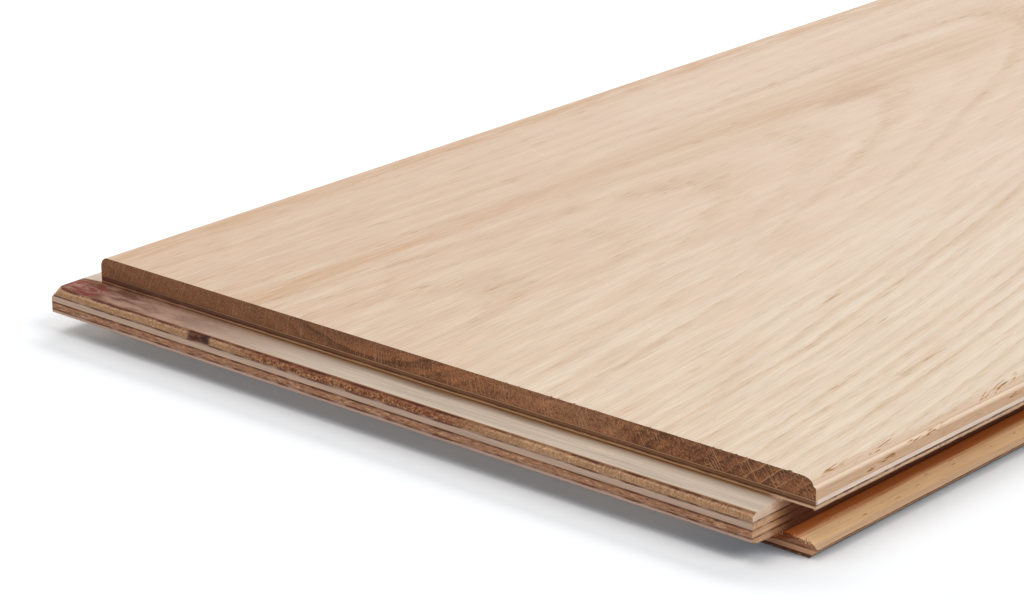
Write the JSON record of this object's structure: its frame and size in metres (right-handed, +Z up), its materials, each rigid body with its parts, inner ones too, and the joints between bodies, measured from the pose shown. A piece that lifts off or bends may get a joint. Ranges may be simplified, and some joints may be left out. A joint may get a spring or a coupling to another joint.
{
  "type": "engineered oak floorboard",
  "caption": "Wide engineered plank floorboard: a bevelled oak face glued on cross-laid plywood, with tongues on one long side and one end and grooves on the others.",
  "frame": {"origin": "on the underside, in the middle of the box that the whole board fills, tongues included", "axes": "+X across the board to its grooved long side, +Y along the board to its grooved end, +Z up out of the oak face"},
  "size_m": [0.1872, 1.2072, 0.016],
  "materials": {
    "oak": "fine-sanded, unfinished",
    "plywood_along": "rotary-cut veneer, milled edges",
    "plywood_across": "rotary-cut veneer, milled edges"
  },
  "bodies": {
    "root": {"oak_wear_layer": "oak", "ply_1_face": "plywood_along", "ply_2_core": "plywood_across", "ply_3_core": "plywood_along", "ply_4_core": "plywood_across", "ply_5_core": "plywood_along", "ply_6_core": "plywood_across", "ply_7_core": "plywood_along", "ply_8_core": "plywood_across", "ply_9_back": "plywood_along"}
  },
  "joints": []
}
